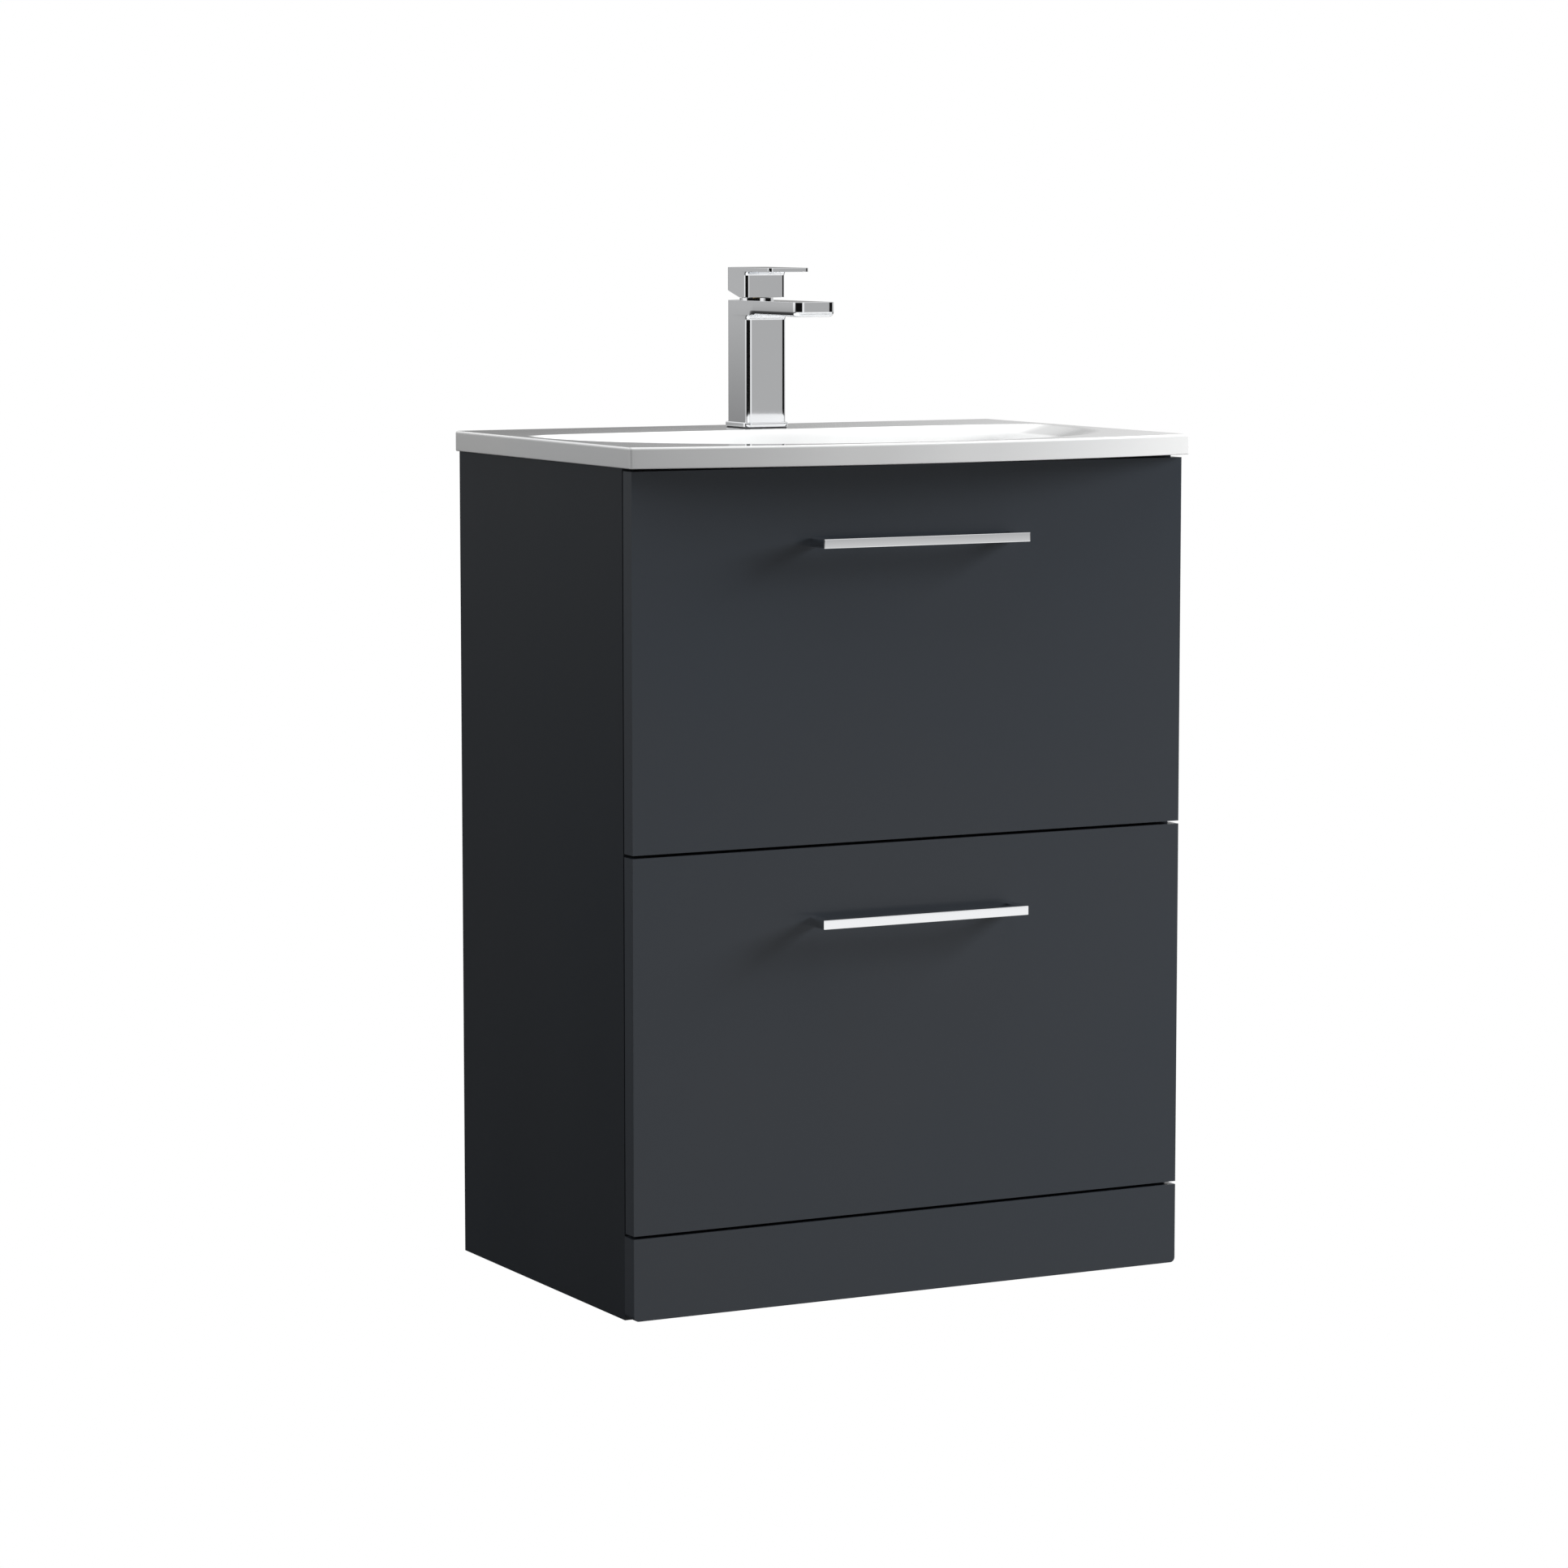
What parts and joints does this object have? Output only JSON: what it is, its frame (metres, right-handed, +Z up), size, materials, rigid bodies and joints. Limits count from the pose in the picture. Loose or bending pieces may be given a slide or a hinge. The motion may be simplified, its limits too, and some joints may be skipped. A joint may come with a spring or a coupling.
{
  "type": "bathroom vanity cabinet",
  "caption": "Floor-standing bathroom vanity cabinet with two drawers, bar handles, a ceramic basin with a bowed front edge and a square single-lever tap.",
  "frame": {"origin": "middle of the footprint's bounding box, on the floor", "axes": "+X to the right seen from the front, +Y towards the wall, +Z up; the drawers open towards -Y"},
  "size_m": [0.61, 0.4349, 0.9886],
  "materials": {
    "anthracite_board": "dark grey lacquered board, satin gloss",
    "front_lacquer": "dark grey lacquered board, glossy",
    "back_board": "dark grey thin board, matt",
    "drawer_board": "grey melamine-faced board",
    "softwood": "bare softwood",
    "dowel_beech": "bare beech",
    "zinc_steel": "zinc-plated steel",
    "zinc_casting": "cast zinc",
    "runner_steel": "zinc-plated sheet steel",
    "ball_steel": "polished steel",
    "liner_plastic": "moulded grey plastic",
    "handle_chrome": "polished chrome",
    "basin_ceramic": "white glaze",
    "tap_chrome": "polished chrome",
    "black_rubber": "black rubber",
    "black_plastic": "black moulded plastic",
    "cartridge_plastic": "cream moulded plastic",
    "spindle_plastic": "white acetal",
    "brass_rod": "bare brass",
    "screw_steel": "steel"
  },
  "bodies": {
    "root": {"side_panel_left": "anthracite_board", "side_panel_right": "anthracite_board", "base_panel": "anthracite_board", "rear_rail_top": "anthracite_board", "rear_rail_low": "anthracite_board", "front_rail_top": "anthracite_board", "front_rail_mid": "anthracite_board", "plinth_front": "front_lacquer", "back_panel": "back_board", "plinth_blocks": "softwood", "carcass_dowels": "dowel_beech", "cam_bolts": "zinc_steel", "wall_brackets": "zinc_steel", "bracket_screws": "zinc_steel", "runner_screws": "zinc_steel", "tap_clamp": "zinc_steel", "cam_locks": "zinc_casting", "upper_runner_outer": "runner_steel", "lower_runner_outer": "runner_steel", "basin": "basin_ceramic", "tap_body": "tap_chrome", "tap_collar": "tap_chrome", "waste_body": "tap_chrome", "overflow_ring": "tap_chrome", "waste_seal": "black_rubber", "tap_gasket": "black_rubber", "waste_nut": "black_plastic", "tap_cartridge": "cartridge_plastic", "tap_aerator": "cartridge_plastic", "tap_stud": "brass_rod"},
    "upper_drawer": {"upper_front": "front_lacquer", "upper_box_left": "drawer_board", "upper_box_right": "drawer_board", "upper_box_back": "drawer_board", "upper_box_bottom": "drawer_board", "upper_recess_liner": "liner_plastic", "upper_box_dowels": "dowel_beech", "upper_handle": "handle_chrome", "upper_handle_screws": "zinc_steel", "upper_runner_inner": "runner_steel"},
    "upper_runner": {"upper_runner_mid": "runner_steel", "upper_runner_balls": "ball_steel"},
    "lower_drawer": {"lower_front": "front_lacquer", "lower_box_left": "drawer_board", "lower_box_right": "drawer_board", "lower_box_back": "drawer_board", "lower_box_bottom": "drawer_board", "lower_box_dowels": "dowel_beech", "lower_handle": "handle_chrome", "lower_handle_screws": "zinc_steel", "lower_runner_inner": "runner_steel"},
    "lower_runner": {"lower_runner_mid": "runner_steel", "lower_runner_balls": "ball_steel"},
    "tap_swivel": {"cartridge_spindle": "spindle_plastic"},
    "tap_handle": {"tap_lever": "tap_chrome", "lever_stem": "brass_rod", "lever_screw": "screw_steel"},
    "plug": {"waste_plug": "tap_chrome", "plug_seal": "black_rubber"}
  },
  "joints": [
    {"name": "upper_drawer_slide", "type": "slide", "parent": "root", "child": "upper_drawer", "axis": [0, -1, 0], "range_m": [0, 0.29]},
    {"name": "upper_runner_slide", "type": "slide", "parent": "root", "child": "upper_runner", "axis": [0, -1, 0], "range_m": [0, 0.145]},
    {"name": "lower_drawer_slide", "type": "slide", "parent": "root", "child": "lower_drawer", "axis": [0, -1, 0], "range_m": [0, 0.29]},
    {"name": "lower_runner_slide", "type": "slide", "parent": "root", "child": "lower_runner", "axis": [0, -1, 0], "range_m": [0, 0.145]},
    {"name": "lever_swivel", "type": "hinge", "parent": "root", "child": "tap_swivel", "pos_m": [0, 0.1545, 0.9446], "axis": [0, 0, 1], "range_deg": [-45, 45]},
    {"name": "lever_lift", "type": "hinge", "parent": "tap_swivel", "child": "tap_handle", "pos_m": [0, 0.1545, 0.9446], "axis": [-1, 0, 0], "range_deg": [0, 18]},
    {"name": "plug_lift", "type": "slide", "parent": "root", "child": "plug", "axis": [0, 0, 1], "range_m": [0, 0.007]}
  ],
  "couplings": [
    {"joint": "upper_runner_slide", "follows": "upper_drawer_slide", "ratio": 0.5},
    {"joint": "lower_runner_slide", "follows": "lower_drawer_slide", "ratio": 0.5}
  ]
}
